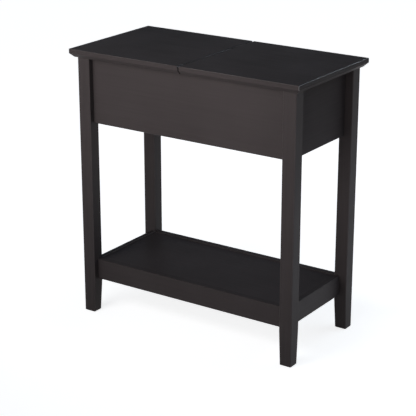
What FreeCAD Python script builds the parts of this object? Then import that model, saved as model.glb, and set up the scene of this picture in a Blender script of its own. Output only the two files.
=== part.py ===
import FreeCAD, Part
import os
import Sketcher

# Lift top end table in millimetres: +X along its length, +Y to the rear, +Z up.
# The origin is on the floor under the middle of the top. The right half of the top is a
# lid that swings up about two small hinges let into the seam across the middle.

doc = FreeCAD.newDocument("LiftTopEndTable")

# Driving dimensions, one row of the sheet each.
SIZES = {
    # Top, in two halves with a seam between them.
    "top_length": 565,
    "top_depth": 282,
    "table_height": 600,
    "top_thickness": 18,
    "top_bevel": 8.5,
    "top_overhang": 13,
    "top_arris": 1,
    "seam_gap": 3,
    # Legs, whose two inner faces taper below the shelf rails.
    "leg_width": 30,
    "leg_depth": 28,
    "leg_taper_in_width": 3,
    "leg_taper_in_depth": 4,
    "leg_arris": 1.2,
    "foot_chamfer": 1.5,
    # Box under the top.
    "long_board_thickness": 15,
    "end_board_thickness": 12,
    "board_arris": 0.8,
    "panel_height": 144,
    "floor_thickness": 9,
    "floor_lift": 8,
    "groove_depth": 5,
    "board_play": 0.2,
    "seam_rail_width": 46,
    "batten_thickness": 15,
    # Lower shelf in its frame of rails.
    "shelf_height": 122,
    "shelf_thickness": 12,
    "shelf_sink": 2,
    "rail_height": 46,
    "cleat_end_gap": 48,
    # Hinges in the seam.
    "hinge_length": 50,
    "hinge_inset": 56,
    "barrel_diameter": 3.8,
    "barrel_sink": 0.1,
    "barrel_room": 0.35,
    "knuckle_play": 0.15,
    "pin_diameter": 1.8,
    "pin_play": 0.05,
    "leaf_thickness": 1.2,
    "leaf_margin": 2,
    "hinge_screw_diameter": 2.8,
    "hinge_screw_head": 5,
    "hinge_screw_length": 16,
    # Fittings that hold the boards together.
    "cam_diameter": 12,
    "cam_skin": 3,
    "cam_reach": 24,
    "cam_slot_width": 1.2,
    "cam_slot_depth": 1.5,
    "bolt_diameter": 5,
    "bolt_neck": 3.2,
    "bolt_head_length": 4,
    "bolt_thread_length": 11,
    "dowel_diameter": 6,
    "dowel_length": 30,
    "dowel_chamfer": 0.8,
    "dowel_bite_in_board": 10,
    "wood_screw_diameter": 4,
    "wood_screw_head": 7.5,
    "wood_screw_bite": 8,
    "fit_play": 0.1,
    "overrun": 2,
}

# Heights of the fittings, as shares of the height of the board that they join to a leg.
LONG_PANEL_CAM_SHARE = 0.5
LONG_PANEL_DOWEL_SHARES = (0.2, 0.8)
END_PANEL_CAM_SHARE = 0.62
END_PANEL_DOWEL_SHARES = (0.32, 0.9)
LONG_RAIL_CAM_SHARE = 0.26
LONG_RAIL_DOWEL_SHARES = (0.65,)
END_RAIL_CAM_SHARE = 0.45
END_RAIL_DOWEL_SHARES = (0.85,)
# Places along a board, as shares of half its length from the middle.
TOP_CAM_ON_END_SHARE = 0.5
TOP_CAM_ON_LONG_SHARE = 0.66
SEAM_RAIL_SCREW_SHARE = 0.55
CLEAT_SCREW_SHARES = (-0.7, 0, 0.7)
SHELF_SCREW_SHARE = 0.5
HINGE_SCREW_SHARE = 0.6
# Places across a narrow piece, as shares of its own width.
SEAM_RAIL_ACROSS_SHARE = 0.25
LEAF_SCREW_DOWN_SHARE = 0.6
CAM_SLOT_SHARE = 0.7
SCREW_TIP_SHARE = 0.5

KNUCKLES = 5
# Two places count as one when they are closer than this share of the table's length.
SAME_PLACE_SHARE = 1e-6

sheet = doc.addObject("Spreadsheet::Sheet", "Sizes")


class Size:
    """A length together with the sheet formula that gives it."""

    def __init__(self, value, formula):
        self.value = float(value)
        self.formula = formula

    def __add__(self, other):
        return joined(self, "+", other, self.value + number(other))

    def __sub__(self, other):
        return joined(self, "-", other, self.value - number(other))

    def __mul__(self, other):
        return joined(self, "*", other, self.value * number(other))

    def __truediv__(self, other):
        return joined(self, "/", other, self.value / number(other))

    def __rmul__(self, other):
        return self * other

    def __neg__(self):
        return self * -1


def number(item):
    return item.value if isinstance(item, Size) else float(item)


def formula_of(item):
    return item.formula if isinstance(item, Size) else repr(float(item))


def joined(left, sign, right, value):
    return Size(value, f"({formula_of(left)} {sign} {formula_of(right)})")


def sheet_size(row, alias, value):
    """Write one driving dimension to the sheet and return it as a size."""
    sheet.set(f"A{row}", alias)
    sheet.set(f"B{row}", str(value))
    sheet.setAlias(f"B{row}", alias)
    return Size(value, f"{sheet.Name}.{alias}")


size = {
    alias: sheet_size(row, alias, value)
    for row, (alias, value) in enumerate(SIZES.items(), start=1)
}
doc.recompute()

ZERO = Size(0, "0")
play = size["fit_play"]
overrun = size["overrun"]

# Planes of the table that several pieces share.
half_length = size["top_length"] / 2
half_depth = size["top_depth"] / 2
under_top = size["table_height"] - size["top_thickness"]
leg_out_x = half_length - size["top_overhang"]
leg_out_y = half_depth - size["top_overhang"]
inner_x = leg_out_x - size["leg_width"]
inner_y = leg_out_y - size["leg_depth"]
shelf_top = size["shelf_height"]
panel_height = size["panel_height"]
box_bottom = under_top - panel_height
rail_top = shelf_top + size["shelf_sink"]
rail_bottom = rail_top - size["rail_height"]
shelf_bottom = shelf_top - size["shelf_thickness"]
seam_face = size["seam_gap"] / 2

# Hinge axis: just deep enough to hide the barrel, and the centre of the seam's rounded arrises.
barrel_radius = size["barrel_diameter"] / 2
axis_drop = barrel_radius + size["barrel_sink"]
axis_height = size["table_height"] - axis_drop
hinge_place = half_depth - size["hinge_inset"]
leaf_height = size["top_thickness"] - axis_drop - size["leaf_margin"]

# Fitting sizes that follow the boards.
cam_depth = size["end_board_thickness"] - size["cam_skin"]
bolt_inset = size["end_board_thickness"] / 2
wood_screw_length = size["batten_thickness"] + size["wood_screw_bite"]

AXES = {
    "+x": FreeCAD.Vector(1, 0, 0),
    "-x": FreeCAD.Vector(-1, 0, 0),
    "+y": FreeCAD.Vector(0, 1, 0),
    "-y": FreeCAD.Vector(0, -1, 0),
    "+z": FreeCAD.Vector(0, 0, 1),
    "-z": FreeCAD.Vector(0, 0, -1),
}

nodes = []


def bind(item, prop, length):
    item.setExpression(prop, formula_of(length))


def settle(item):
    """Recompute, and stop if the item did not come out whole."""
    doc.recompute()
    if "Invalid" in item.State or "Error" in item.State or not item.Shape.isValid():
        raise RuntimeError(f"{item.Label} did not compute")
    return item


def keep(item, label):
    """Name a finished piece, so that it is written to its own file."""
    item.Label = label
    nodes.append(item)
    return item


def new_body(name):
    return doc.addObject("PartDesign::Body", name)


def new_sketch(body, name, role, offset):
    """An empty sketch on one of the body's own planes, moved along the plane's normal."""
    sketch = body.newObject("Sketcher::SketchObject", name)
    planes = {feature.Role: feature for feature in body.Origin.OriginFeatures}
    sketch.AttachmentSupport = [(planes[role], "")]
    sketch.MapMode = "FlatFace"
    bind(sketch, "AttachmentOffset.Base.z", offset)
    return sketch


def draw_outline(sketch, points):
    """Close an outline of straight lines, each corner held at its own two sizes."""
    corners = [FreeCAD.Vector(number(x), number(y), 0) for x, y in points]
    count = len(corners)
    for index, corner in enumerate(corners):
        following = (index + 1) % count
        sketch.addGeometry(Part.LineSegment(corner, corners[following]), False)
    for index in range(count):
        following = (index + 1) % count
        sketch.addConstraint(Sketcher.Constraint("Coincident", index, 2, following, 1))
    for index, point in enumerate(points):
        for kind, length in zip(("DistanceX", "DistanceY"), point):
            held = sketch.addConstraint(Sketcher.Constraint(kind, -1, 1, index, 1, number(length)))
            bind(sketch, f"Constraints[{held}]", length)


def padded_outline(body, name, role, offset, points, length):
    sketch = new_sketch(body, f"{name}_outline", role, offset)
    draw_outline(sketch, points)
    pad = body.newObject("PartDesign::Pad", f"{name}_pad")
    pad.Profile = sketch
    bind(pad, "Length", length)
    return settle(pad)


def turned_outline(name, points):
    """A piece turned about its own Z axis, from an outline of radius and height."""
    body = new_body(name)
    sketch = new_sketch(body, f"{name}_outline", "XZ_Plane", ZERO)
    draw_outline(sketch, points)
    turned = body.newObject("PartDesign::Revolution", f"{name}_turned")
    turned.Profile = sketch
    turned.ReferenceAxis = (sketch, ["V_Axis"])
    turned.Angle = 360
    settle(turned)
    return body


def edges_on(feature, test):
    """Names of the feature's edges whose box passes the test."""
    return [
        f"Edge{place}"
        for place, edge in enumerate(feature.Shape.Edges, start=1)
        if test(edge.BoundBox)
    ]


def eased(body, kind, name, base, test, prop, length):
    """Round or bevel the edges of the last feature that pass the test."""
    feature = body.newObject(f"PartDesign::{kind}", name)
    feature.Base = (base, edges_on(base, test))
    bind(feature, prop, length)
    return settle(feature)


def near(left, right):
    return abs(left - number(right)) < number(size["top_length"]) * SAME_PLACE_SHARE


def flat_at(box, height):
    return near(box.ZMin, height) and near(box.ZMax, height)


def cylinder(name, radius, height, start=ZERO):
    """A round bar along Z that begins at the given height."""
    bar = doc.addObject("Part::Cylinder", name)
    bind(bar, "Radius", radius)
    bind(bar, "Height", height)
    bind(bar, "Placement.Base.z", start)
    return bar


def block(name, lows, highs):
    """A box from its lowest corner to its highest."""
    solid = doc.addObject("Part::Box", name)
    for side, axis, low, high in zip(("Length", "Width", "Height"), "xyz", lows, highs):
        bind(solid, side, high - low)
        bind(solid, f"Placement.Base.{axis}", low)
    return solid


def fused(name, shapes):
    union = doc.addObject("Part::MultiFuse", name)
    union.Shapes = shapes
    return settle(union)


def cut(name, base, tool):
    result = doc.addObject("Part::Cut", name)
    result.Base = base
    result.Tool = tool
    return settle(result)


def group(name, items):
    compound = doc.addObject("Part::Compound", name)
    compound.Links = items
    return settle(compound)


class Site:
    """Where a fitting goes: a point, the way it is driven, and the way its side faces."""

    def __init__(self, place, driven, facing):
        self.place = place
        drive = AXES[driven]
        face = AXES[facing]
        self.turn = FreeCAD.Rotation(face, drive.cross(face), drive, "ZXY")


def put(model, site):
    """A copy of a fitting, or of its drilling, at a site."""
    copy = doc.addObject("App::Link", f"{model.Name}_copy")
    copy.LinkedObject = model
    copy.LinkTransform = True
    corner = FreeCAD.Vector(*(length.value for length in site.place))
    copy.Placement = FreeCAD.Placement(corner, site.turn)
    for axis, length in zip("xyz", site.place):
        bind(copy, f"Placement.Base.{axis}", length)
    return copy


def drilled(label, board, drillings):
    """The finished board: its blank less everything that is driven into it."""
    tool = group(f"{label}_drilling", drillings)
    before = board.Shape.Volume
    result = cut(label, board, tool)
    if not result.Shape.Volume < before:
        raise RuntimeError(f"{label} was not drilled")
    return keep(result, label)


# Cam fitting. Local Z runs from the leg into the board, X points out of the board's inner face.
def make_cam():
    radius = size["cam_diameter"] / 2
    blank = cylinder("cam_blank", radius, cam_depth)
    blank.Placement.Rotation = FreeCAD.Rotation(AXES["+y"], 90)
    bind(blank, "Placement.Base.x", bolt_inset - cam_depth)
    bind(blank, "Placement.Base.z", size["cam_reach"])
    mouth_end = size["cam_reach"] + size["bolt_head_length"] / 2 + play
    mouth = cylinder("cam_mouth", size["bolt_diameter"] / 2 + play, mouth_end)
    slot_half = size["cam_slot_width"] / 2
    arm = radius * CAM_SLOT_SHARE
    floor = bolt_inset - size["cam_slot_depth"]
    centre = size["cam_reach"]
    upright = block(
        "cam_slot_upright",
        (floor, -slot_half, centre - arm),
        (bolt_inset + overrun, slot_half, centre + arm),
    )
    level = block(
        "cam_slot_level",
        (floor, -arm, centre - slot_half),
        (bolt_inset + overrun, arm, centre + slot_half),
    )
    return cut("cam", blank, fused("cam_openings", [mouth, upright, level]))


def make_cam_bolt():
    shank = size["bolt_diameter"] / 2
    neck = size["bolt_neck"] / 2
    foot = -size["bolt_thread_length"]
    head_start = size["cam_reach"] - size["bolt_head_length"] / 2
    head_end = head_start + size["bolt_head_length"]
    neck_start = size["cam_reach"] - size["cam_diameter"] / 2
    points = [
        (ZERO, foot),
        (shank, foot),
        (shank, neck_start),
        (neck, neck_start),
        (neck, head_start),
        (shank, head_start),
        (shank, head_end),
        (ZERO, head_end),
    ]
    return turned_outline("cam_bolt", points)


def make_cam_drilling():
    start = -size["bolt_thread_length"] - play
    bolt_hole = cylinder(
        "bolt_hole", size["bolt_diameter"] / 2 + play, size["cam_reach"] - start, start
    )
    cam_hole = cylinder("cam_hole", size["cam_diameter"] / 2 + play, cam_depth + play + overrun)
    cam_hole.Placement.Rotation = FreeCAD.Rotation(AXES["+y"], 90)
    bind(cam_hole, "Placement.Base.x", bolt_inset - cam_depth - play)
    bind(cam_hole, "Placement.Base.z", size["cam_reach"])
    return fused("cam_drill", [bolt_hole, cam_hole])


# Dowel. Its middle is at the local origin, along Z.
def make_dowel():
    radius = size["dowel_diameter"] / 2
    half = size["dowel_length"] / 2
    tip = size["dowel_chamfer"]
    points = [
        (ZERO, -half),
        (radius - tip, -half),
        (radius, tip - half),
        (radius, half - tip),
        (radius - tip, half),
        (ZERO, half),
    ]
    return turned_outline("dowel", points)


def make_dowel_drilling():
    half = size["dowel_length"] / 2 + play
    return cylinder("dowel_drill", size["dowel_diameter"] / 2 + play, half * 2, -half)


# Countersunk screw. Its head is level with local zero, and Z runs towards its tip.
def make_screw(name, diameter, head, length):
    shank = diameter / 2
    rim = head / 2
    points = [
        (ZERO, ZERO),
        (rim, ZERO),
        (shank, rim - shank),
        (shank, length - diameter),
        (shank * SCREW_TIP_SHARE, length),
        (ZERO, length),
    ]
    return turned_outline(name, points)


def make_screw_drilling(name, diameter, head, length):
    shank = diameter / 2 + play
    rim = head / 2 + play
    points = [
        (ZERO, -overrun),
        (rim, -overrun),
        (rim, play),
        (shank, rim - shank + play),
        (shank, length + play),
        (ZERO, length + play),
    ]
    return turned_outline(name, points)


cam = make_cam()
cam_bolt = make_cam_bolt()
cam_drill = make_cam_drilling()
dowel = make_dowel()
dowel_drill = make_dowel_drilling()
hinge_screw_sizes = (
    size["hinge_screw_diameter"],
    size["hinge_screw_head"],
    size["hinge_screw_length"],
)
hinge_screw = make_screw("hinge_screw", *hinge_screw_sizes)
hinge_screw_drill = make_screw_drilling("hinge_screw_drill", *hinge_screw_sizes)
wood_screw_sizes = (
    size["wood_screw_diameter"],
    size["wood_screw_head"],
    wood_screw_length,
)
wood_screw = make_screw("wood_screw", *wood_screw_sizes)
wood_screw_drill = make_screw_drilling("wood_screw_drill", *wood_screw_sizes)

SIDES = {"left": -1, "right": 1}
ENDS = {"front": -1, "rear": 1}

# Every board and leg collects the drillings of the fittings that enter it.
drillings = {}
cam_sites = []
dowel_sites = []
wood_screw_sites = []


def join(model, site, *labels):
    """Drill the named pieces for one fitting."""
    for label in labels:
        drillings.setdefault(label, []).append(put(model, site))


def cam_joint(site, *labels):
    cam_sites.append(site)
    join(cam_drill, site, *labels)


def dowel_joint(site, *labels):
    dowel_sites.append(site)
    join(dowel_drill, site, *labels)


def screw_joint(site, *labels):
    wood_screw_sites.append(site)
    join(wood_screw_drill, site, *labels)


def sign_of(way, axis):
    return ("+" if way > 0 else "-") + axis


def join_boards_to_legs():
    """Cams and dowels at both ends of the panels and rails."""
    long_sets = {
        "panel": (box_bottom, panel_height, LONG_PANEL_CAM_SHARE, LONG_PANEL_DOWEL_SHARES),
        "rail": (rail_bottom, size["rail_height"], LONG_RAIL_CAM_SHARE, LONG_RAIL_DOWEL_SHARES),
    }
    end_sets = {
        "panel": (box_bottom, panel_height, END_PANEL_CAM_SHARE, END_PANEL_DOWEL_SHARES),
        "rail": (rail_bottom, size["rail_height"], END_RAIL_CAM_SHARE, END_RAIL_DOWEL_SHARES),
    }
    for side, across in SIDES.items():
        for end, along in ENDS.items():
            leg = f"{end}_{side}_leg"
            for kind, (base, height, cam_share, dowel_shares) in long_sets.items():
                line = (inner_x * across, (inner_y + bolt_inset) * along)
                ways = (sign_of(-across, "x"), sign_of(-along, "y"))
                pieces = (leg, f"{end}_{kind}")
                cam_joint(Site((*line, base + height * cam_share), *ways), *pieces)
                for share in dowel_shares:
                    dowel_joint(Site((*line, base + height * share), *ways), *pieces)
            for kind, (base, height, cam_share, dowel_shares) in end_sets.items():
                line = ((inner_x + bolt_inset) * across, inner_y * along)
                ways = (sign_of(-along, "y"), sign_of(-across, "x"))
                pieces = (leg, f"{side}_end_{kind}")
                cam_joint(Site((*line, base + height * cam_share), *ways), *pieces)
                for share in dowel_shares:
                    dowel_joint(Site((*line, base + height * share), *ways), *pieces)


def join_fixed_top():
    """Cams in the box's upper edges hold the fixed half down."""
    for end, along in ENDS.items():
        on_end = Site(
            (-inner_x - bolt_inset, inner_y * (along * TOP_CAM_ON_END_SHARE), under_top), "-z", "+x"
        )
        cam_joint(on_end, "left_end_panel", "fixed_top")
        on_long = Site(
            (inner_x * -TOP_CAM_ON_LONG_SHARE, (inner_y + bolt_inset) * along, under_top),
            "-z",
            sign_of(-along, "y"),
        )
        cam_joint(on_long, f"{end}_panel", "fixed_top")


def join_seam_rail():
    """Dowels into the long panels, and screws up into the fixed half."""
    across = size["seam_rail_width"] * SEAM_RAIL_ACROSS_SHARE
    dowel_line = under_top - size["batten_thickness"] / 2
    middle = inner_y + size["dowel_bite_in_board"] - size["dowel_length"] / 2
    for end, along in ENDS.items():
        for side in SIDES.values():
            site = Site((across * side, middle * along, dowel_line), sign_of(along, "y"), "+x")
            dowel_joint(site, "seam_rail", f"{end}_panel")
        head = under_top - size["batten_thickness"]
        site = Site((-across, inner_y * (along * SEAM_RAIL_SCREW_SHARE), head), "+z", "+x")
        screw_joint(site, "seam_rail", "fixed_top")


def join_shelf():
    """Cleats screwed to the long rails, and the shelf screwed down from below."""
    half = size["batten_thickness"] / 2
    run = inner_x - size["cleat_end_gap"]
    for end, along in ENDS.items():
        cleat = f"{end}_shelf_cleat"
        for share in CLEAT_SCREW_SHARES:
            face = (inner_y - size["batten_thickness"]) * along
            site = Site((run * share, face, shelf_bottom - half), sign_of(along, "y"), "+x")
            screw_joint(site, cleat, f"{end}_rail")
        for side in SIDES.values():
            head = shelf_bottom - size["batten_thickness"]
            line = (inner_y - half) * along
            site = Site((run * (side * SHELF_SCREW_SHARE), line, head), "+z", "+x")
            screw_joint(site, cleat, "shelf_board")


join_boards_to_legs()
join_fixed_top()
join_seam_rail()
join_shelf()


def hinge_screw_sites(side):
    """Two screws through each leaf, into the seam face of one half of the top."""
    leaf_face = (seam_face - size["leaf_thickness"]) * side
    depth = axis_height - leaf_height * LEAF_SCREW_DOWN_SHARE
    reach = size["hinge_length"] / 2 * HINGE_SCREW_SHARE
    return [
        Site((leaf_face, hinge_place * along + reach * way, depth), sign_of(side, "x"), "+z")
        for along in ENDS.values()
        for way in (-1, 1)
    ]


# Legs: straight outside, with the inner faces drawn in below the rails and the foot eased.
def leg_section(across, along, in_width, in_depth, trim):
    """Outline of a leg at one height, its four arrises cut off."""
    arris = size["leg_arris"]
    far_x = leg_out_x - trim
    far_y = leg_out_y - trim
    near_x = inner_x + in_width + trim
    near_y = inner_y + in_depth + trim
    corners = [
        (near_x + arris, near_y),
        (far_x - arris, near_y),
        (far_x, near_y + arris),
        (far_x, far_y - arris),
        (far_x - arris, far_y),
        (near_x + arris, far_y),
        (near_x, far_y - arris),
        (near_x, near_y + arris),
    ]
    return [(x * across, y * along) for x, y in corners]


def make_leg(label, across, along):
    body = new_body(f"{label}_blank")
    drawn_in = (size["leg_taper_in_width"], size["leg_taper_in_depth"])
    chamfer = size["foot_chamfer"]
    sections = [
        (ZERO, *drawn_in, chamfer),
        (chamfer, *drawn_in, ZERO),
        (rail_bottom, ZERO, ZERO, ZERO),
        (under_top, ZERO, ZERO, ZERO),
    ]
    sketches = []
    for place, (height, in_width, in_depth, trim) in enumerate(sections):
        sketch = new_sketch(body, f"{label}_section_{place}", "XY_Plane", height)
        draw_outline(sketch, leg_section(across, along, in_width, in_depth, trim))
        sketches.append(sketch)
    doc.recompute()
    loft = body.newObject("PartDesign::AdditiveLoft", f"{label}_loft")
    loft.Profile = sketches[0]
    loft.Sections = sketches[1:]
    loft.Ruled = True
    settle(loft)
    return drilled(label, body, drillings[label])


for side, across in SIDES.items():
    for end, along in ENDS.items():
        make_leg(f"{end}_{side}_leg", across, along)


# Panels of the box: the long ones are grooved for the floor, all have eased lower arrises.
def make_long_panel(end, along):
    label = f"{end}_panel"
    arris = size["board_arris"]
    inside = inner_y
    outside = inner_y + size["long_board_thickness"]
    groove_low = box_bottom + size["floor_lift"]
    groove_high = groove_low + size["floor_thickness"] + size["board_play"]
    groove_back = inside + size["groove_depth"]
    profile = [
        (outside - arris, box_bottom),
        (outside, box_bottom + arris),
        (outside, under_top),
        (inside, under_top),
        (inside, groove_high),
        (groove_back, groove_high),
        (groove_back, groove_low),
        (inside, groove_low),
        (inside, box_bottom + arris),
        (inside + arris, box_bottom),
    ]
    body = new_body(f"{label}_blank")
    points = [(y * along, z) for y, z in profile]
    padded_outline(body, label, "YZ_Plane", -inner_x, points, inner_x * 2)
    return drilled(label, body, drillings[label])


def make_end_panel(side, across):
    label = f"{side}_end_panel"
    arris = size["board_arris"]
    inside = inner_x
    outside = inner_x + size["end_board_thickness"]
    profile = [
        (outside - arris, box_bottom),
        (outside, box_bottom + arris),
        (outside, under_top),
        (inside, under_top),
        (inside, box_bottom + arris),
        (inside + arris, box_bottom),
    ]
    body = new_body(f"{label}_blank")
    points = [(x * across, z) for x, z in profile]
    padded_outline(body, label, "XZ_Plane", -inner_y, points, inner_y * 2)
    return drilled(label, body, drillings[label])


# Shelf rails: boards on edge with all four long arrises eased.
def rail_profile(inside, thickness):
    arris = size["board_arris"]
    outside = inside + thickness
    return [
        (inside + arris, rail_bottom),
        (outside - arris, rail_bottom),
        (outside, rail_bottom + arris),
        (outside, rail_top - arris),
        (outside - arris, rail_top),
        (inside + arris, rail_top),
        (inside, rail_top - arris),
        (inside, rail_bottom + arris),
    ]


def make_long_rail(end, along):
    label = f"{end}_rail"
    body = new_body(f"{label}_blank")
    profile = rail_profile(inner_y, size["long_board_thickness"])
    points = [(y * along, z) for y, z in profile]
    padded_outline(body, label, "YZ_Plane", -inner_x, points, inner_x * 2)
    return drilled(label, body, drillings[label])


def make_end_rail(side, across):
    label = f"{side}_end_rail"
    body = new_body(f"{label}_blank")
    profile = rail_profile(inner_x, size["end_board_thickness"])
    points = [(x * across, z) for x, z in profile]
    padded_outline(body, label, "XZ_Plane", -inner_y, points, inner_y * 2)
    return drilled(label, body, drillings[label])


for end, along in ENDS.items():
    make_long_panel(end, along)
    make_long_rail(end, along)
for side, across in SIDES.items():
    make_end_panel(side, across)
    make_end_rail(side, across)


def rectangle(half_x, half_y):
    return [(-half_x, -half_y), (half_x, -half_y), (half_x, half_y), (-half_x, half_y)]


def make_box_floor():
    body = new_body("box_floor")
    room = size["board_play"] / 2
    outline = rectangle(inner_x - room, inner_y + size["groove_depth"] - room)
    height = box_bottom + size["floor_lift"] + room
    padded_outline(body, "box_floor", "XY_Plane", height, outline, size["floor_thickness"])
    return keep(body, "box_floor")


def make_shelf_board():
    body = new_body("shelf_board_blank")
    room = size["board_play"] / 2
    outline = rectangle(inner_x - room, inner_y - room)
    padded_outline(
        body, "shelf_board", "XY_Plane", shelf_bottom, outline, size["shelf_thickness"]
    )
    return drilled("shelf_board", body, drillings["shelf_board"])


def make_seam_rail():
    body = new_body("seam_rail_blank")
    outline = rectangle(size["seam_rail_width"] / 2, inner_y)
    height = under_top - size["batten_thickness"]
    padded_outline(body, "seam_rail", "XY_Plane", height, outline, size["batten_thickness"])
    return drilled("seam_rail", body, drillings["seam_rail"])


def make_shelf_cleat(end, along):
    label = f"{end}_shelf_cleat"
    side = size["batten_thickness"]
    run = inner_x - size["cleat_end_gap"]
    profile = [
        (inner_y - side, shelf_bottom - side),
        (inner_y, shelf_bottom - side),
        (inner_y, shelf_bottom),
        (inner_y - side, shelf_bottom),
    ]
    body = new_body(f"{label}_blank")
    points = [(y * along, z) for y, z in profile]
    padded_outline(body, label, "YZ_Plane", -run, points, run * 2)
    return drilled(label, body, drillings[label])


make_box_floor()
make_shelf_board()
make_seam_rail()
for end, along in ENDS.items():
    make_shelf_cleat(end, along)


# The two halves of the top: bevelled underneath, eased above, rounded along the seam.
def make_half_top(label, side):
    body = new_body(f"{label}_blank")
    outline = [
        (seam_face * side, -half_depth),
        (half_length * side, -half_depth),
        (half_length * side, half_depth),
        (seam_face * side, half_depth),
    ]
    pad = padded_outline(body, label, "XY_Plane", under_top, outline, size["top_thickness"])
    seam_x = seam_face * side
    seam_round = axis_drop * side

    def on_seam(box):
        return near(box.XMin, seam_x) and near(box.XMax, seam_x)

    def lower_rim(box):
        return flat_at(box, under_top) and not on_seam(box)

    def seam_arris(box):
        return flat_at(box, size["table_height"]) and on_seam(box)

    def outer_arris(box):
        rim = flat_at(box, size["table_height"]) and not near(box.Center.x, seam_x + seam_round)
        corner = near(box.ZMax, size["table_height"]) and near(box.Center.x, half_length * side)
        return rim or corner

    bevel = eased(body, "Chamfer", f"{label}_bevel", pad, lower_rim, "Size", size["top_bevel"])
    seam = eased(body, "Fillet", f"{label}_seam", bevel, seam_arris, "Radius", axis_drop)
    eased(body, "Fillet", f"{label}_arris", seam, outer_arris, "Radius", size["top_arris"])
    return body


relief_length = size["hinge_length"] + size["knuckle_play"] * 2
relief = cylinder(
    "hinge_relief", barrel_radius + size["barrel_room"], relief_length, -relief_length / 2
)
hinge_sites = {
    end: Site((ZERO, hinge_place * along, axis_height), "+y", "+x") for end, along in ENDS.items()
}

for label, side in (("fixed_top", -1), ("lift_lid", 1)):
    half = make_half_top(label, side)
    openings = drillings.get(label, [])
    openings += [put(relief, site) for site in hinge_sites.values()]
    openings += [put(hinge_screw_drill, site) for site in hinge_screw_sites(side)]
    drilled(label, half, openings)


# Hinges. Local Z is the pin, X points to the lid, and the leaves hang down along local Y.
def make_leaf(label, side, end):
    """One leaf: a plate on the seam face, with every other knuckle of the barrel."""
    half = size["hinge_length"] / 2
    pitch = size["hinge_length"] / KNUCKLES
    own = range(0, KNUCKLES, 2) if side < 0 else range(1, KNUCKLES, 2)
    other = range(1, KNUCKLES, 2) if side < 0 else range(0, KNUCKLES, 2)
    axis_y = hinge_place * ENDS[end]
    inside = seam_face - size["leaf_thickness"]
    body = new_body(f"{label}_plate")
    outline = [
        (seam_face * side, axis_height),
        (inside * side, axis_height),
        (inside * side, axis_height - leaf_height),
        (seam_face * side, axis_height - leaf_height),
    ]
    padded_outline(body, label, "XZ_Plane", -axis_y - half, outline, size["hinge_length"])

    def along_pin(name, place, radius, room):
        """A round length about the pin, over one knuckle's share of the hinge."""
        start = -half + pitch * place + room
        bar = cylinder(name, radius, pitch - room * 2, start)
        return put(bar, hinge_sites[end])

    knuckles = [
        along_pin(f"{label}_knuckle_{place}", place, barrel_radius, size["knuckle_play"])
        for place in own
    ]
    swept = [
        along_pin(
            f"{label}_gap_{place}", place, barrel_radius + size["barrel_room"], -size["knuckle_play"]
        )
        for place in other
    ]
    bore_length = size["hinge_length"] + overrun * 2
    bore = cylinder(
        f"{label}_bore", size["pin_diameter"] / 2 + size["pin_play"], bore_length, -bore_length / 2
    )
    screw_holes = [
        put(hinge_screw_drill, site)
        for site in hinge_screw_sites(side)
        if (site.place[1].value > 0) == (ENDS[end] > 0)
    ]
    trimmed = cut(f"{label}_trimmed", body, group(f"{label}_gaps", swept))
    rolled = fused(f"{label}_rolled", [trimmed, *knuckles])
    openings = [put(bore, hinge_sites[end]), *screw_holes]
    return keep(cut(label, rolled, group(f"{label}_openings", openings)), label)


for end in ENDS:
    make_leaf(f"{end}_hinge_fixed_leaf", -1, end)
    make_leaf(f"{end}_hinge_lid_leaf", 1, end)
    pin = cylinder(
        f"{end}_pin", size["pin_diameter"] / 2, size["hinge_length"], -size["hinge_length"] / 2
    )
    keep(group(f"{end}_hinge_pin", [put(pin, hinge_sites[end])]), f"{end}_hinge_pin")


# Fittings, each kind in one group.
def fitting_group(label, model, sites):
    return keep(group(label, [put(model, site) for site in sites]), label)


fitting_group("cam_locks", cam, cam_sites)
fitting_group("cam_bolts", cam_bolt, cam_sites)
fitting_group("dowels", dowel, dowel_sites)
fitting_group("wood_screws", wood_screw, wood_screw_sites)
fitting_group("hinge_fixed_screws", hinge_screw, hinge_screw_sites(-1))
fitting_group("hinge_lid_screws", hinge_screw, hinge_screw_sites(1))

doc.recompute()
for item in doc.Objects:
    if "Invalid" in item.State or "Error" in item.State:
        raise RuntimeError(f"{item.Label} is not whole")
for node in nodes:
    if node.Shape.isNull() or not node.Shape.isValid():
        raise RuntimeError(f"{node.Label} has no valid shape")

os.makedirs("parts", exist_ok=True)
for node in nodes:
    node.Shape.exportStep(f"parts/{node.Label}.step")
    print(node.Label, len(node.Shape.Solids), round(node.Shape.Volume))
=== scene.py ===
# %% [markdown]
# # A lift top end table, dressed for its photograph
# The table comes in as finished solids, in metres, with the floor at zero height and its
# length along X. This lesson leaves their shapes alone and gives them their looks: the dark
# espresso paint, the hinges, the fittings that hold the boards, the studio and the camera.

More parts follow.
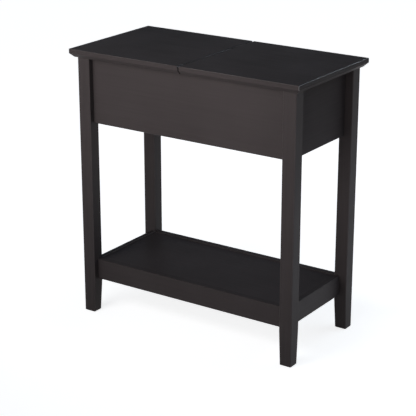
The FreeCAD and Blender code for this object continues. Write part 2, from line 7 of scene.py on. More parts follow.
# %% Load the table
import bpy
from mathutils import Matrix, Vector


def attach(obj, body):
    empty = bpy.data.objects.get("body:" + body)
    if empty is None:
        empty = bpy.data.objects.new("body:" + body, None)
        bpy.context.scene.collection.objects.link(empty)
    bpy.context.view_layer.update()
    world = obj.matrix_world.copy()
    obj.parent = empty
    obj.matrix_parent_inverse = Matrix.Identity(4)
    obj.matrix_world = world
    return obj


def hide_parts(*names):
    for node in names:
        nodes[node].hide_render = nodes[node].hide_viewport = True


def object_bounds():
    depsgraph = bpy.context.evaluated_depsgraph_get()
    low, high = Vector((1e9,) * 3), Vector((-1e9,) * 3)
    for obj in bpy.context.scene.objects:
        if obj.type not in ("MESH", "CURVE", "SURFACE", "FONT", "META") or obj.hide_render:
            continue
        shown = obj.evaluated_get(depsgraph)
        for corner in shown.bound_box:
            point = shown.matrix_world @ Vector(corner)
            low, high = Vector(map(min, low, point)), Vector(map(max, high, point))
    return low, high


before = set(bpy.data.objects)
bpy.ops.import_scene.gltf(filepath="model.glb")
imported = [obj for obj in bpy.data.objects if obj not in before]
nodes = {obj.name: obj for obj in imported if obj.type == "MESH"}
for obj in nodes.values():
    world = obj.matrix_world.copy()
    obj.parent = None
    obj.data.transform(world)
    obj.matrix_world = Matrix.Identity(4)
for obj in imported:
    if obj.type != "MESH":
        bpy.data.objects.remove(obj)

# %% Measure the table
import math

import bpy
from mathutils import Matrix, Vector

MM = 0.001
cad_low, cad_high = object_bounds()
print("table", [round(side / MM, 1) for side in cad_high - cad_low], "mm")

# %% [markdown]
# ## A small tool kit for materials
# A procedural material is a chain of nodes that ends in the Principled shader. By hand it is
# wired up in the Shader Editor. In a script each node would take several lines, so a few
# helpers come first: they add a node, fill in its settings and link what feeds it. Every
# pattern reads Object coordinates. The solids sit at the origin, so those are metres on the
# real table, and a pattern has the same scale on every board.

# %% Add and link nodes
def feed(tree, socket, value):
    """Link a socket to another one, or set it to a plain value."""
    if isinstance(value, bpy.types.NodeSocket):
        tree.links.new(value, socket)
    else:
        socket.default_value = value


def add_node(tree, kind, settings=None, **inputs):
    """Add a node. Settings are its own switches, inputs are values or sockets to link."""
    node = tree.nodes.new(kind)
    for name, value in (settings or {}).items():
        setattr(node, name, value)
    for name, value in inputs.items():
        feed(tree, node.inputs[name.replace("_", " ")], value)
    return node


def start_material(name, **constants):
    """A new material, with the shader's constant values set on its own sockets."""
    material = bpy.data.materials.new(name)
    material.use_nodes = True
    shader = material.node_tree.nodes["Principled BSDF"]
    for socket, value in constants.items():
        shader.inputs[socket.replace("_", " ")].default_value = value
    return material, material.node_tree, shader


print("node helpers ready")

# %% Patterns and ranges
NOISE_RANGE = (0.3, 0.7)
UNSTRETCHED = (1.0, 1.0, 1.0)


def object_pattern(tree, scale=UNSTRETCHED):
    """Object coordinates in metres, stretched by a scale for each axis."""
    place = add_node(tree, "ShaderNodeTexCoord").outputs["Object"]
    return add_node(tree, "ShaderNodeMapping", Vector=place, Scale=scale).outputs["Vector"]


def noise(tree, vector, scale, detail=2.0, roughness=0.5):
    """A cloudy pattern, of which nearly all lies within NOISE_RANGE."""
    pattern = add_node(
        tree, "ShaderNodeTexNoise", Vector=vector, Scale=scale, Detail=detail, Roughness=roughness
    )
    return pattern.outputs["Fac"]


def spread(tree, value, low, high, to_low, to_high):
    """Stretch one range of values over another."""
    span = add_node(
        tree, "ShaderNodeMapRange", Value=value,
        From_Min=low, From_Max=high, To_Min=to_low, To_Max=to_high,
    )
    return span.outputs["Result"]


print("noise is taken to lie within", NOISE_RANGE)

# %% Sums, blends and surfaces
MIX_FIRST_COLOUR = 6
MIX_SECOND_COLOUR = 7
MIX_BLENDED_COLOUR = 2


def math_node(tree, operation, *values):
    """Reckon with values or sockets."""
    node = add_node(tree, "ShaderNodeMath", {"operation": operation})
    for socket, value in zip(node.inputs, values):
        feed(tree, socket, value)
    return node.outputs["Value"]


def mix_colours(tree, factor, first, second):
    """Blend two colours by a factor that varies over the surface."""
    blend = add_node(tree, "ShaderNodeMix", {"data_type": "RGBA"}, Factor=factor)
    feed(tree, blend.inputs[MIX_FIRST_COLOUR], first)
    feed(tree, blend.inputs[MIX_SECOND_COLOUR], second)
    return blend.outputs[MIX_BLENDED_COLOUR]


def surface(tree, shader, colour, roughness, height, strength, depth):
    """Give a shader its colour, its roughness and a bump of some depth."""
    bump = add_node(tree, "ShaderNodeBump", Height=height, Strength=strength, Distance=depth)
    feed(tree, shader.inputs["Base Color"], colour)
    feed(tree, shader.inputs["Roughness"], roughness)
    feed(tree, shader.inputs["Normal"], bump.outputs["Normal"])


print("blend helpers ready")

# %% [markdown]
# ## Rubbed arrises and a painted highlight
# Hands and cloths rub the paint along the arrises, the edges where two faces meet. There it is
# thinner and paler. On the top the same mask also paints a highlight: its pale colour stands in
# for the fine bright line that light draws along the upper arrises at the ends. Such a mask could
# be painted by hand, board by board. These boards are square to the axes, so a rule does it for
# all of them: where no part of the normal is near one, the face leans, and it belongs to an
# arris. Four shares then weaken the mask. Wear is never even, so patches weaken it. The shares
# below, on long edges and at the seam weaken wear and painted highlight alike, so the bright
# line stays on the upper arrises at the ends.

# %% Find the arrises
FLAT_FACE = 0.99
LEANING_FACE = 0.90
DOWN_FACING = -0.2
OUT_FACING = -0.1
LONG_EDGE = 0.1
END_EDGE = 0.3
LONG_EDGE_SHARE = 0.25
SEAM_NEAR = 10.0 * MM
SEAM_FAR = 30.0 * MM
SEAM_SHARE = 0.25
PATCH_SCALE = 34.0
PATCH_DETAIL = 3.0
PATCH_RANGE = (0.35, 0.65)
PATCH_SHARE = 0.7


def rubbed_edges_and_highlight(tree, place):
    """A mask of rubbed paint and painted highlight: one on the upper arrises at the ends, less at
    the seam, nought on flat faces.
    """
    normal = add_node(tree, "ShaderNodeTexCoord").outputs["Normal"]
    size = add_node(tree, "ShaderNodeVectorMath", {"operation": "ABSOLUTE"})
    feed(tree, size.inputs[0], normal)
    sides = add_node(tree, "ShaderNodeSeparateXYZ", Vector=size.outputs["Vector"]).outputs
    level = math_node(tree, "MAXIMUM", sides["X"], sides["Y"])
    squarest = math_node(tree, "MAXIMUM", level, sides["Z"])
    upward = add_node(tree, "ShaderNodeSeparateXYZ", Vector=normal).outputs["Z"]
    along = add_node(tree, "ShaderNodeSeparateXYZ", Vector=place).outputs["X"]
    from_seam = math_node(tree, "ABSOLUTE", along)
    patches = noise(tree, place, PATCH_SCALE, PATCH_DETAIL)
    # This mask is rubbed paint and, on the top, a painted highlight; the shares keep it strongest
    # on the upper end arrises.
    wear_and_highlight = spread(tree, squarest, FLAT_FACE, LEANING_FACE, 0.0, 1.0)
    for share in (
        spread(tree, upward, DOWN_FACING, OUT_FACING, 0.0, 1.0),
        spread(tree, patches, *PATCH_RANGE, PATCH_SHARE, 1.0),
        spread(tree, sides["X"], LONG_EDGE, END_EDGE, LONG_EDGE_SHARE, 1.0),
        spread(tree, from_seam, SEAM_NEAR, SEAM_FAR, SEAM_SHARE, 1.0),
    ):
        wear_and_highlight = math_node(tree, "MULTIPLY", wear_and_highlight, share)
    return wear_and_highlight


print("an arris leans by more than", round(math.degrees(math.acos(FLAT_FACE)), 1), "degrees")

# %% [markdown]
# ## Espresso paint
# The boards and legs are sprayed with a dark coffee paint that dries to a soft satin. Seen
# close, the spray leaves a fine pebble called orange peel, the grain of the board below still
# shows as faint streaks, and the tone drifts a little over a broad face. One flat colour would
# look like plastic, and a picture of paint would have to be fitted to every board. So the
# peel, the grain and the drift are one noise pattern each, the grain stretched along its
# board. Along the arrises the colour turns paler as rubbed paint, and on the top it is pale
# enough to be a painted highlight along the ends. The rubbed arrises of the top also get a
# clear coat, because the real ones catch the light as a fine line. The paint is a little
# glossier on the shelf than on the top and the ends of the box.

# %% Colours and patterns of the paint
PAINT_DEEP = (0.0410, 0.0338, 0.0336, 1.0)
PAINT_LIT = (0.0545, 0.0450, 0.0448, 1.0)
GRAIN_ALONG = 5.0
GRAIN_ACROSS = 190.0
GRAIN_DETAIL = 4.0
GRAIN_ROUGHNESS = 0.62
PEEL_SCALE = 430.0
PEEL_DETAIL = 1.5
CLOUD_SCALE = 6.0
CLOUD_DETAIL = 3.0
CLOUD_TONE = 0.6
GRAIN_TONE = 0.4
GRAIN_RELIEF = 0.6
PEEL_RELIEF = 0.4
PAINT_RELIEF = 0.12
PAINT_DEPTH = 0.4 * MM
SATIN_DEEP = 0.50
SATIN_LIT = 0.40
RUBBED_SMOOTHER = 0.08
ARRIS_POLISH = 0.12
LACQUER_IOR = 1.5
print("grain", round(1.0 / GRAIN_ACROSS / MM, 1), "mm wide, peel", round(1.0 / PEEL_SCALE / MM, 1))

# %% Mix the paint
def espresso_paint(name, grain_axis, gloss, rubbed_and_highlight, polished):
    """Satin paint over a grain, paler where rubbed on the arrises, and on the top pale enough to
    be a painted highlight. Polished arrises carry a clear lacquer that mirrors the lamps.
    """
    material, tree, shader = start_material(
        name, Specular_IOR_Level=gloss, Coat_Roughness=ARRIS_POLISH, Coat_IOR=LACQUER_IOR
    )
    stretch = [GRAIN_ACROSS] * 3
    stretch[grain_axis] = GRAIN_ALONG
    place = object_pattern(tree)
    grain = noise(tree, object_pattern(tree, stretch), 1.0, GRAIN_DETAIL, GRAIN_ROUGHNESS)
    cloud = noise(tree, place, CLOUD_SCALE, CLOUD_DETAIL)
    peel = noise(tree, place, PEEL_SCALE, PEEL_DETAIL)
    drift = spread(tree, cloud, *NOISE_RANGE, 0.0, CLOUD_TONE)
    streaks = spread(tree, grain, *NOISE_RANGE, 0.0, GRAIN_TONE)
    tone = math_node(tree, "ADD", drift, streaks)
    wear_and_highlight = rubbed_edges_and_highlight(tree, place)
    # Rubbed colour on the arrises; on the top this pale colour is a painted highlight.
    colour = mix_colours(tree, wear_and_highlight, mix_colours(tree, tone, PAINT_DEEP, PAINT_LIT), rubbed_and_highlight)
    satin = spread(tree, tone, 0.0, 1.0, SATIN_DEEP, SATIN_LIT)
    smoother = math_node(tree, "MULTIPLY", wear_and_highlight, RUBBED_SMOOTHER)
    roughness = math_node(tree, "SUBTRACT", satin, smoother)
    ridges = math_node(tree, "MULTIPLY", grain, GRAIN_RELIEF)
    pebbles = math_node(tree, "MULTIPLY", peel, PEEL_RELIEF)
    relief = math_node(tree, "ADD", ridges, pebbles)
    surface(tree, shader, colour, roughness, relief, PAINT_RELIEF, PAINT_DEPTH)
    if polished:
        feed(tree, shader.inputs["Coat Weight"], wear_and_highlight)
    return material


print("paint from", PAINT_DEEP[:3], "to", PAINT_LIT[:3])

# %% Paint the boards along their grain
# The top's rubbed colour is pale enough to be a painted highlight along its ends; the rest is
# rubbed paint only.
RUBBED_AND_HIGHLIGHT_TOP = (0.210, 0.200, 0.200, 1.0)
RUBBED_REST = (0.070, 0.059, 0.058, 1.0)
PAINTS = {
    "espresso_paint_top": dict(grain_axis=0, gloss=0.035, rubbed_and_highlight=RUBBED_AND_HIGHLIGHT_TOP, polished=True),
    "espresso_paint_long": dict(grain_axis=0, gloss=0.06, rubbed_and_highlight=RUBBED_REST, polished=False),
    "espresso_paint_shelf": dict(grain_axis=0, gloss=0.12, rubbed_and_highlight=RUBBED_REST, polished=False),
    "espresso_paint_end": dict(grain_axis=1, gloss=0.02, rubbed_and_highlight=RUBBED_REST, polished=False),
    "espresso_paint_end_rail": dict(grain_axis=1, gloss=0.06, rubbed_and_highlight=RUBBED_REST, polished=False),
    "espresso_paint_leg": dict(grain_axis=2, gloss=0.06, rubbed_and_highlight=RUBBED_REST, polished=False),
}
BOARDS = {
    "espresso_paint_top": ["fixed_top", "lift_lid"],
    "espresso_paint_long": [
        "front_panel", "rear_panel", "front_rail", "rear_rail",
        "box_floor", "front_shelf_cleat", "rear_shelf_cleat",
    ],
    "espresso_paint_shelf": ["shelf_board"],
    "espresso_paint_end": ["left_end_panel", "right_end_panel", "seam_rail"],
    "espresso_paint_end_rail": ["left_end_rail", "right_end_rail"],
    "espresso_paint_leg": ["front_left_leg", "front_right_leg", "rear_left_leg", "rear_right_leg"],
}


def dress(material, node_names):
    """Put a finish on every material slot of some pieces."""
    for node_name in node_names:
        for material_slot in nodes[node_name].material_slots:
            material_slot.material = material
    print(material.name, "on", len(node_names), "pieces")


for paint_name, qualities in PAINTS.items():
    dress(espresso_paint(paint_name, **qualities), BOARDS[paint_name])

# %% [markdown]
# ## Metal and dowels
# The hinges are steel under a dark bronze lacquer, the screws and bolts are zinc plated, the
# cams are cast zinc, and the dowels are bare beech. Polished metal with one colour and one
# roughness looks like chrome. Metals get their life from uneven roughness more than from
# colour, so a fine noise drives the roughness and a coarse one the tone. Beech is wood, and
# gets a fine fleck instead.

# %% Metal finishes
MOTTLE_DETAIL = 4.0
MOTTLE_ROUGHNESS = 0.6
FINE_TIMES = 6
FITTING_DEPTH = 0.1 * MM


def metal(name, dark, light, scale, rough, relief):
    """A metal with a coarse mottle in its tone and a fine one in its roughness."""
    material, tree, shader = start_material(name, Metallic=1.0)
    place = object_pattern(tree)
    mottle = noise(tree, place, scale, MOTTLE_DETAIL, MOTTLE_ROUGHNESS)
    fine = noise(tree, place, scale * FINE_TIMES)
    colour = mix_colours(tree, spread(tree, mottle, *NOISE_RANGE, 0.0, 1.0), dark, light)
    roughness = spread(tree, fine, *NOISE_RANGE, *rough)
    surface(tree, shader, colour, roughness, fine, relief, FITTING_DEPTH)
    return material


bronze_lacquer = metal(
    "bronze_lacquer", dark=(0.045, 0.036, 0.031, 1.0), light=(0.085, 0.068, 0.056, 1.0),
    scale=300.0, rough=(0.34, 0.48), relief=0.15,
)
zinc_plate = metal(
    "zinc_plate", dark=(0.50, 0.50, 0.51, 1.0), light=(0.64, 0.64, 0.65, 1.0),
    scale=500.0, rough=(0.22, 0.36), relief=0.1,
)
cast_zinc = metal(
    "cast_zinc", dark=(0.40, 0.40, 0.41, 1.0), light=(0.56, 0.56, 0.57, 1.0),
    scale=350.0, rough=(0.38, 0.55), relief=0.35,
)
for end in ("front", "rear"):
    dress(bronze_lacquer, [f"{end}_hinge_{part}" for part in ("fixed_leaf", "lid_leaf", "pin")])
dress(zinc_plate, ["cam_bolts", "wood_screws", "hinge_fixed_screws", "hinge_lid_screws"])
dress(cast_zinc, ["cam_locks"])

# %% Bare beech for the dowels
BEECH_DARK = (0.50, 0.34, 0.20, 1.0)
BEECH_LIGHT = (0.66, 0.49, 0.32, 1.0)
BEECH_GLOSS = 0.35
BEECH_ROUGH = (0.55, 0.7)
BEECH_RELIEF = 0.3
FLECK_SCALE = 900.0
FLECK_DETAIL = 3.0
FLECK_ROUGHNESS = 0.6
FLECK_RANGE = (0.35, 0.65)


def beech(name):
    """Bare wood with a fine fleck."""
    material, tree, shader = start_material(name, Specular_IOR_Level=BEECH_GLOSS)
    fleck = noise(tree, object_pattern(tree), FLECK_SCALE, FLECK_DETAIL, FLECK_ROUGHNESS)
    share = spread(tree, fleck, *FLECK_RANGE, 0.0, 1.0)
    colour = mix_colours(tree, share, BEECH_DARK, BEECH_LIGHT)
    roughness = spread(tree, fleck, *NOISE_RANGE, *BEECH_ROUGH)
    surface(tree, shader, colour, roughness, fleck, BEECH_RELIEF, FITTING_DEPTH)
    return material


dress(beech("bare_beech"), ["dowels"])

# %% [markdown]
# ## Where the fittings sit
# Cams, bolts and screws hold the boards together. They stay out of sight until the lid is up or
# the table is turned over. Their places could be typed in one by one, but the solids already
# hold them. All fittings of one kind come as one node, so a copy of that node is merged and
# split into its loose parts. The box round each part then gives the place and the direction of
# one fitting, and the copy is thrown away.

# %% Find each fitting
WELD = 0.001 * MM


def deselect():
    """Clear the selection, because an operator acts on all that is selected."""
    bpy.ops.object.select_all(action="DESELECT")


def select_only(piece):
    """Select one object and make it the active one."""
    deselect()
    piece.select_set(True)
    bpy.context.view_layer.objects.active = piece


def fitting_boxes(node_name):
    """The lowest and highest corner of each loose part of a node."""
    copy = nodes[node_name].copy()
    copy.data = copy.data.copy()
    bpy.context.collection.objects.link(copy)
    select_only(copy)
    bpy.ops.object.mode_set(mode="EDIT")
    bpy.ops.mesh.select_all(action="SELECT")
    bpy.ops.mesh.remove_doubles(threshold=WELD)
    bpy.ops.mesh.separate(type="LOOSE")
    bpy.ops.object.mode_set(mode="OBJECT")
    boxes = []
    for part in bpy.context.selected_objects:
        corners = list(zip(*(vertex.co for vertex in part.data.vertices)))
        boxes.append((Vector(map(min, corners)), Vector(map(max, corners))))
    bpy.ops.object.delete()
    return sorted(boxes, key=lambda box: tuple(round(value / MM) for value in box[0]))


cam_boxes = fitting_boxes("cam_locks")
bolt_boxes = fitting_boxes("cam_bolts")
print(len(cam_boxes), "cams and", len(bolt_boxes), "bolts found")

# %% Directions and places
def middle(box):
    """The middle of a box."""
    return (box[0] + box[1]) / 2


def unit(axis, sign):
    """A step of one along X, Y or Z."""
    step = Vector((0.0, 0.0, 0.0))
    step[axis] = sign
    return step


def placing(point, out, along):
    """A turn and shift that takes the origin to a point, +Z to out and +X to along."""
    turn = Matrix((along, out.cross(along), out)).transposed().to_4x4()
    return Matrix.Translation(point) @ turn


print("first cam at", [round(value / MM, 1) for value in middle(cam_boxes[0])], "mm")

# %% [markdown]
# ## Modelling tools
# The solids give cams and screws their plain outer shape. The real ones have rims, recesses and
# threads, so these are modelled anew, and the solids they stand for are hidden. All are shaped
# the same way: a primitive is added at its size, faces are picked by where they lie or point,
# and edit mode operators push, inset and bevel them. Recesses are cut with a punch through the
# Boolean modifier, which keeps sharp edges, and is then applied so that the mesh is final.

# %% Start, pick and combine
POINTS_STRAIGHT = 0.9


def start_piece(name):
    """Name the primitive just added and set its place into its mesh."""
    piece = bpy.context.object
    piece.name = name
    bpy.ops.object.transform_apply(location=True, rotation=True, scale=True)
    return piece


def pick_faces(piece, wanted):
    """In edit mode, select the faces whose middle and normal pass a test."""
    bpy.ops.mesh.select_mode(type="FACE")
    bpy.ops.mesh.select_all(action="DESELECT")
    bpy.ops.object.mode_set(mode="OBJECT")
    for face in piece.data.polygons:
        face.select = wanted(face.center, face.normal)
    bpy.ops.object.mode_set(mode="EDIT")


def looks_up(centre, normal):
    """A test for faces that point upwards."""
    return normal.z > POINTS_STRAIGHT


def looks_down(centre, normal):
    """A test for faces that point downwards."""
    return normal.z < -POINTS_STRAIGHT


def combine(piece, other, operation):
    """Cut away or join another piece, which is used up."""
    select_only(piece)
    boolean = piece.modifiers.new("combine", "BOOLEAN")
    boolean.operation = operation
    boolean.solver = "EXACT"
    boolean.object = other
    bpy.ops.object.modifier_apply(modifier=boolean.name)
    bpy.data.objects.remove(other)


print("modelling helpers ready")

# %% A punch for cross recesses
CROSS_POINT_SHARE = 0.62


def arm_end(step):
    """A test for the face at the end of one arm of the cross."""
    across = unit(2, 1.0).cross(step)

    def test(centre, normal):
        return normal.dot(step) > POINTS_STRAIGHT and abs(centre.dot(across)) < WELD

    return test


def cross_punch(width, reach, top, deep):
    """A cross-shaped punch that narrows to its point, for the recess of a cross driver."""
    deselect()
    bpy.ops.mesh.primitive_cube_add(size=width, location=(0.0, 0.0, top))
    punch = start_piece("cross_punch")
    bpy.ops.object.mode_set(mode="EDIT")
    for step in (unit(0, 1.0), unit(0, -1.0), unit(1, 1.0), unit(1, -1.0)):
        pick_faces(punch, arm_end(step))
        arm = step * (reach - width / 2)
        bpy.ops.mesh.extrude_region_move(TRANSFORM_OT_translate={"value": arm})
    pick_faces(punch, looks_down)
    bpy.ops.transform.translate(value=(0.0, 0.0, -deep + width / 2))
    bpy.ops.transform.resize(value=(CROSS_POINT_SHARE, CROSS_POINT_SHARE, 1.0))
    bpy.ops.object.mode_set(mode="OBJECT")
    return punch


print("the point of a cross is", CROSS_POINT_SHARE, "of its mouth")

# %% Finish a piece and copy it
SMOOTH_BELOW = math.radians(35.0)


def finish_piece(piece, material):
    """Smooth the round faces, keep the corners, and paint."""
    select_only(piece)
    bpy.ops.object.mode_set(mode="EDIT")
    bpy.ops.mesh.select_all(action="SELECT")
    bpy.ops.mesh.remove_doubles(threshold=WELD)
    bpy.ops.mesh.normals_make_consistent(inside=False)
    bpy.ops.object.mode_set(mode="OBJECT")
    bpy.ops.object.shade_smooth_by_angle(angle=SMOOTH_BELOW)
    piece.data.materials.clear()
    piece.data.materials.append(material)
    print(piece.name, len(piece.data.polygons), "faces")


def set_copies(model, places, node_name, body):
    """Copy a fitting, mesh and all, to each of its places, where it stands for its solid."""
    for number, place in enumerate(places, 1):
        piece = model.copy()
        piece.data = model.data.copy()
        piece.data.transform(place)
        piece.name = f"{model.name}_{node_name}_{number:02d}"
        bpy.context.collection.objects.link(piece)
        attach(piece, body)
        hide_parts(node_name)
    print(len(places), "copies for", node_name)


print("edges under", round(math.degrees(SMOOTH_BELOW)), "degrees are smoothed")

# %% [markdown]
# ## Cam locks
# A cam lock is a cast zinc drum that is dropped into a blind hole in the board. A driver in its
# cross turns it, and it draws the bolt's head towards itself. Its face has a bevelled rim, a
# shallow dish and the cross. The mouth for the bolt is in its side. A profile could be spun
# round its axis, but cross and mouth aren't round. So it is made from one drum: the rim is
# bevelled, the dish is inset and pressed in, and cross and mouth are punched out.

# %% The drum of a cam lock
CAM_RADIUS = 5.98 * MM
CAM_DEEP = 8.95 * MM
CAM_SIDES = 40
RIM_BEVEL = 0.35 * MM
RIM_STEPS = 2
RIM_WIDTH = 0.9 * MM
DISH_DEEP = 0.45 * MM
DISH_BORDER = 0.25 * MM


def cam_drum():
    """The drum, with its rim bevelled and its dish pressed in."""
    deselect()
    bpy.ops.mesh.primitive_cylinder_add(
        vertices=CAM_SIDES, radius=CAM_RADIUS, depth=CAM_DEEP, location=(0.0, 0.0, -CAM_DEEP / 2)
    )
    cam = start_piece("cam_lock")
    bpy.ops.object.mode_set(mode="EDIT")
    pick_faces(cam, looks_up)
    bpy.ops.mesh.bevel(offset=RIM_BEVEL, segments=RIM_STEPS)
    pick_faces(cam, looks_up)
    bpy.ops.mesh.inset(thickness=RIM_WIDTH)
    bpy.ops.transform.translate(value=(0.0, 0.0, -DISH_DEEP))
    bpy.ops.mesh.inset(thickness=DISH_BORDER)
    bpy.ops.object.mode_set(mode="OBJECT")
    return cam


cam_lock = cam_drum()
print("drum", len(cam_lock.data.polygons), "faces")

# %% Punch out mouth and cross
MOUTH_DEEP = 6.0 * MM
MOUTH_RADIUS = 2.65 * MM
MOUTH_PAST = 2.2 * MM
MOUTH_SPARE = 1.0 * MM
MOUTH_SIDES = 28
CAM_CROSS = dict(width=1.5 * MM, reach=3.6 * MM, top=0.5 * MM, deep=2.9 * MM)


def mouth_punch():
    """A round bar that lies along X and reaches a little past the drum's axis."""
    length = MOUTH_PAST + CAM_RADIUS + MOUTH_SPARE
    deselect()
    bpy.ops.mesh.primitive_cylinder_add(
        vertices=MOUTH_SIDES, radius=MOUTH_RADIUS, depth=length, rotation=(0.0, math.pi / 2, 0.0),
        location=(length / 2 - MOUTH_PAST, 0.0, -MOUTH_DEEP),
    )
    return start_piece("cam_mouth")


combine(cam_lock, mouth_punch(), "DIFFERENCE")
combine(cam_lock, cross_punch(**CAM_CROSS), "DIFFERENCE")
finish_piece(cam_lock, cast_zinc)

# %% Set the cam locks into the boards
def cam_place(box):
    """The cam faces the middle of the table, and its mouth faces the nearest bolt."""
    centre = middle(box)
    sides = box[1] - box[0]
    axis = min(range(3), key=lambda number: sides[number])
    out = unit(axis, -math.copysign(1.0, centre[axis]))
    nearest = min((middle(bolt) for bolt in bolt_boxes), key=lambda bolt: (bolt - centre).length)
    towards = nearest - centre
    towards[axis] = 0.0
    return placing(centre + out * sides[axis] / 2, out, towards.normalized())


set_copies(cam_lock, [cam_place(box) for box in cam_boxes], "cam_locks", "frame")
bpy.data.objects.remove(cam_lock)

# %% [markdown]
# ## Screws
# Countersunk screws hold the shelf and its cleats, the seam rail and the hinge leaves. Each has
# a flat head with a cross in it, a core and a thread that winds down to a sharp point. A thread
# drawn only in a bump would vanish at the outline. So the core is drawn out of the head by
# extruding its lower face and scaling each new ring, and the thread is a small triangle that
# the Screw modifier winds round the core, joined on by a Boolean. Most sizes are shares of the
# shank or the head, so that one recipe makes both kinds of screw.

# %% Draw out head and core
HEAD_RIM = 0.15 * MM
HEAD_SHARE = 0.98
NECK_SHARE = 0.94
CORE_SHARE = 0.66
NECK_LENGTH = 0.25
POINT_LENGTH = 1.0
POINT_SHARE = 0.12
SCREW_SIDES = 24


def draw_down(drop, scale):
    """Pull the picked ring down and scale it."""
    bpy.ops.mesh.extrude_region_move(TRANSFORM_OT_translate={"value": (0.0, 0.0, -drop)})
    bpy.ops.transform.resize(value=(scale, scale, 1.0))


def screw_core(name, shank, head, length):
    """Head, neck, core and point, ring by ring."""
    rim = head * HEAD_SHARE / 2
    neck = shank * NECK_SHARE / 2
    core = shank * CORE_SHARE / 2
    cone = (head - shank) / 2
    deselect()
    bpy.ops.mesh.primitive_cylinder_add(
        vertices=SCREW_SIDES, radius=rim, depth=HEAD_RIM, location=(0.0, 0.0, -HEAD_RIM / 2)
    )
    screw = start_piece(name)
    bpy.ops.object.mode_set(mode="EDIT")
    pick_faces(screw, looks_down)
    draw_down(cone - HEAD_RIM, neck / rim)
    draw_down(shank * NECK_LENGTH, core / neck)
    draw_down(length - cone - shank * (NECK_LENGTH + POINT_LENGTH), 1.0)
    draw_down(shank * POINT_LENGTH, POINT_SHARE)
    bpy.ops.object.mode_set(mode="OBJECT")
    return screw


print("the core is", CORE_SHARE, "of the shank")

# %% Wind the thread
PITCH_SHARE = 0.42
THREAD_SHARE = 0.985
THREAD_HEIGHT = 0.8
THREAD_FROM = 0.55
THREAD_STOP = 0.7
THREAD_CORNERS = 3
TURN_STEPS = 16


def screw_thread(shank, head, length):
    """A triangle wound down round the core, with its two ends filled."""
    pitch = shank * PITCH_SHARE
    size = shank * (1.0 - CORE_SHARE) / 2 * THREAD_HEIGHT
    top = (head - shank) / 2 + shank * THREAD_FROM
    deselect()
    bpy.ops.mesh.primitive_circle_add(
        vertices=THREAD_CORNERS, radius=size, rotation=(math.pi / 2, math.pi / 2, 0.0),
        location=(shank * THREAD_SHARE / 2 - size, 0.0, -top),
    )
    thread = start_piece("screw_thread")
    winding = thread.modifiers.new("winding", "SCREW")
    winding.axis = "Z"
    winding.iterations = int((length - top - shank * THREAD_STOP) / pitch)
    winding.screw_offset = -pitch
    winding.steps = TURN_STEPS
    winding.render_steps = TURN_STEPS
    bpy.ops.object.modifier_apply(modifier=winding.name)
    bpy.ops.object.mode_set(mode="EDIT")
    bpy.ops.mesh.select_all(action="SELECT")
    bpy.ops.mesh.fill_holes(sides=THREAD_CORNERS)
    bpy.ops.mesh.select_all(action="SELECT")
    bpy.ops.mesh.normals_make_consistent(inside=False)
    bpy.ops.object.mode_set(mode="OBJECT")
    return thread


print("the pitch is", PITCH_SHARE, "of the shank")

# %% Model both kinds of screw
SCREW_SIZES = {
    "wood_screw": dict(shank=4.0 * MM, head=7.5 * MM, length=23.0 * MM),
    "hinge_screw": dict(shank=2.8 * MM, head=5.0 * MM, length=16.0 * MM),
}
CROSS_OF_HEAD = dict(width=0.14, reach=0.29, top=0.05, deep=0.3)


def model_screw(name, shank, head, length):
    """Core, thread and cross of one screw, with its head at the origin and its point below."""
    screw = screw_core(name, shank, head, length)
    combine(screw, screw_thread(shank, head, length), "UNION")
    cross = {measure: head * share for measure, share in CROSS_OF_HEAD.items()}
    combine(screw, cross_punch(**cross), "DIFFERENCE")
    finish_piece(screw, zinc_plate)
    return screw


screws = {name: model_screw(name, **sizes) for name, sizes in SCREW_SIZES.items()}

# %% Drive the screws
SCREW_USES = {
    "wood_screws": ("wood_screw", "frame"),
    "hinge_fixed_screws": ("hinge_screw", "frame"),
    "hinge_lid_screws": ("hinge_screw", "lid"),
}


def screw_place(box):
    """An upright screw goes in from below, and the others from the middle of the table."""
    centre = middle(box)
    sides = box[1] - box[0]
    axis = max(range(3), key=lambda number: sides[number])
    out = unit(axis, -1.0 if axis == 2 else -math.copysign(1.0, centre[axis]))
    return placing(centre + out * sides[axis] / 2, out, unit((axis + 1) % 3, 1.0))


for node_name, (screw_name, body) in SCREW_USES.items():
    places = [screw_place(box) for box in fitting_boxes(node_name)]
    set_copies(screws[screw_name], places, node_name, body)
for screw in screws.values():
    bpy.data.objects.remove(screw)

# %% [markdown]
# ## The studio floor
# The photograph was taken against pure white. A very bright floor would light the table from
# below, so this one is matt, and it only looks white to the camera and in reflections, through
# the Light Path node. The white is a little weaker near the table. There the lamps make up the
# rest, and where the table keeps them off, its soft shadow shows.

# %% White for the floor
FLOOR_DIFFUSE = (0.8, 0.8, 0.8, 1.0)
GLOW_NEAR = 0.80
GLOW_FAR = 0.94
GLOW_FROM = 0.45
GLOW_TO = 1.2


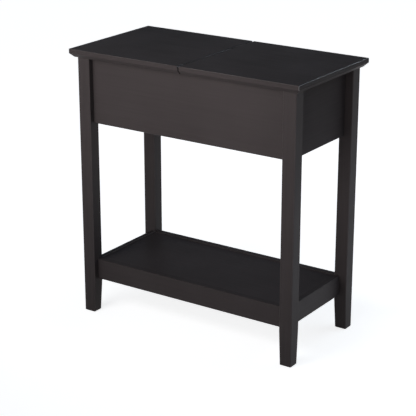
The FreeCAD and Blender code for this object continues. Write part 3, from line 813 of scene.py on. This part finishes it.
def studio_white():
    """A matt white that also glows for the camera and in reflections, more so further out."""
    material = bpy.data.materials.new("studio_white")
    material.use_nodes = True
    tree = material.node_tree
    tree.nodes.remove(tree.nodes["Principled BSDF"])
    ray = add_node(tree, "ShaderNodeLightPath").outputs
    seen = math_node(tree, "MAXIMUM", ray["Is Camera Ray"], ray["Is Glossy Ray"])
    seen = math_node(tree, "MAXIMUM", seen, ray["Is Transmission Ray"])
    place = add_node(tree, "ShaderNodeTexCoord").outputs["Object"]
    away = add_node(tree, "ShaderNodeVectorMath", {"operation": "LENGTH"})
    feed(tree, away.inputs[0], place)
    white = spread(tree, away.outputs["Value"], GLOW_FROM, GLOW_TO, GLOW_NEAR, GLOW_FAR)
    glow = add_node(tree, "ShaderNodeEmission", Strength=math_node(tree, "MULTIPLY", seen, white))
    matt = add_node(tree, "ShaderNodeBsdfDiffuse", Color=FLOOR_DIFFUSE)
    both = add_node(tree, "ShaderNodeAddShader")
    feed(tree, both.inputs[0], matt.outputs["BSDF"])
    feed(tree, both.inputs[1], glow.outputs["Emission"])
    feed(tree, tree.nodes["Material Output"].inputs["Surface"], both.outputs["Shader"])
    return material


floor_white = studio_white()
print(floor_white.name, "glows from", GLOW_NEAR, "to", GLOW_FAR)

# %% Lay the floor
FLOOR_SIDE = 60.0

deselect()
bpy.ops.mesh.primitive_plane_add(size=FLOOR_SIDE, location=(0.0, 0.0, cad_low.z))
floor = bpy.context.object
floor.name = "studio_floor"
floor.data.materials.append(floor_white)
print(floor.name, FLOOR_SIDE, "m wide")

# %% [markdown]
# ## The studio round the table
# Satin paint mirrors what stands round it, so the room matters as much as the lamps. It is white
# along the horizon, where the floor runs out, and a dark cool grey above. A white room on all
# sides would be simpler, but it would wash out the dark top.

# %% World
HORIZON_WHITE = (1.0, 1.0, 1.0, 1.0)
STUDIO_DARK = (0.046, 0.060, 0.082, 1.0)
HORIZON_TOP = 0.06
DARK_FROM = 0.16

world = bpy.data.worlds.new("studio")
bpy.context.scene.world = world
world.use_nodes = True
sky_tree = world.node_tree
sky = add_node(sky_tree, "ShaderNodeTexCoord").outputs["Generated"]
height = add_node(sky_tree, "ShaderNodeSeparateXYZ", Vector=sky).outputs["Z"]
dark_share = spread(sky_tree, height, HORIZON_TOP, DARK_FROM, 0.0, 1.0)
sky_colour = mix_colours(sky_tree, dark_share, HORIZON_WHITE, STUDIO_DARK)
feed(sky_tree, sky_tree.nodes["Background"].inputs["Color"], sky_colour)
print(world.name, "dark from", round(math.degrees(math.asin(DARK_FROM))), "degrees up")

# %% [markdown]
# ## Studio light
# In the photograph the front of the table is lightest, the top and the right end are dark, and
# the right faces grow lighter towards the floor. So the key lamp and a front lamp stand before
# the table, a little above the top. A weak one hangs overhead, and low strips fill in the right
# end, the back and the left end. A strip high at the rear right draws the fine bright line along
# the end of the top. Lamps that would show as hard patches in the paint are kept out of
# reflections.

# %% A soft lamp
def soft_lamp(name, place, target, size, watts, beam, colour, mirrored):
    """A rectangular soft box that faces a point on the table and stays out of the picture."""
    deselect()
    bpy.ops.object.light_add(type="AREA", location=place)
    lamp = bpy.context.object
    lamp.name = name
    lamp.data.shape = "RECTANGLE"
    lamp.data.size, lamp.data.size_y = size
    lamp.data.energy = watts
    lamp.data.spread = math.radians(beam)
    lamp.data.color = colour
    lamp.visible_camera = False
    lamp.visible_glossy = mirrored
    aim = Vector(target) - Vector(place)
    lamp.rotation_euler = aim.to_track_quat("-Z", "Y").to_euler()
    print(name, watts, "W,", round(aim.length, 2), "m away")


print("lamps are set in metres, watts and degrees")

# %% Set up the lamps
WHITE = (1.0, 1.0, 1.0)
COOL = (0.74, 0.88, 1.0)
LAMPS = {
    "key_soft_box": dict(
        place=(-0.35, -1.1, 1.05), target=(0.0, 0.0, 0.6), size=(0.8, 0.4),
        watts=2.1, beam=100.0, colour=WHITE, mirrored=True,
    ),
    "front_soft_box": dict(
        place=(0.16, -1.3, 0.70), target=(0.12, 0.0, 0.58), size=(1.2, 0.4),
        watts=1.8, beam=65.0, colour=WHITE, mirrored=False,
    ),
    "overhead_soft_box": dict(
        place=(0.0, 0.1, 2.4), target=(0.0, 0.0, 0.6), size=(1.0, 0.8),
        watts=1.4, beam=180.0, colour=COOL, mirrored=True,
    ),
    "right_low_strip": dict(
        place=(0.75, 0.15, 0.12), target=(0.28, 0.02, 0.24), size=(0.6, 0.15),
        watts=0.16, beam=70.0, colour=COOL, mirrored=True,
    ),
    "rear_low_strip": dict(
        place=(-0.2, 1.2, 0.06), target=(-0.05, 0.12, 0.40), size=(0.7, 0.1),
        watts=0.9, beam=60.0, colour=WHITE, mirrored=False,
    ),
    "left_low_strip": dict(
        place=(-1.4, 0.0, 0.06), target=(-0.27, 0.0, 0.40), size=(0.8, 0.1),
        watts=0.9, beam=60.0, colour=WHITE, mirrored=False,
    ),
    "rim_strip": dict(
        place=(1.0, 1.35, 1.45), target=(0.28, 0.0, 0.6), size=(1.4, 0.1),
        watts=6.5, beam=180.0, colour=COOL, mirrored=True,
    ),
}
for lamp_name, settings in LAMPS.items():
    soft_lamp(lamp_name, **settings)

# %% [markdown]
# ## The camera
# The photograph looks down on the table from its right front corner through a long lens. A
# camera set by eye would leave every edge a little off. So its place and angles were worked out
# from the table's own size, by laying the outline of the table over its shape in the picture
# until the two agreed best.

# %% Camera
PICTURE_SIDE = 416.0
FOCAL_PIXELS = 1410.3
SENSOR = 36.0
CAMERA_PLACE = (1.6028, -2.3922, 1.2677)
CAMERA_YAW = math.radians(-34.191)
CAMERA_PITCH = math.radians(-19.322)

deselect()
bpy.ops.object.camera_add(location=CAMERA_PLACE)
camera = bpy.context.object
camera.name = "photo_camera"
camera.rotation_euler = (math.pi / 2 + CAMERA_PITCH, 0.0, -CAMERA_YAW)
camera.data.sensor_width = SENSOR
camera.data.lens = FOCAL_PIXELS / PICTURE_SIDE * SENSOR
camera.data.clip_end = FLOOR_SIDE
bpy.context.scene.camera = camera
bpy.context.scene.view_settings.view_transform = "Standard"
print("lens", round(camera.data.lens, 1), "mm")
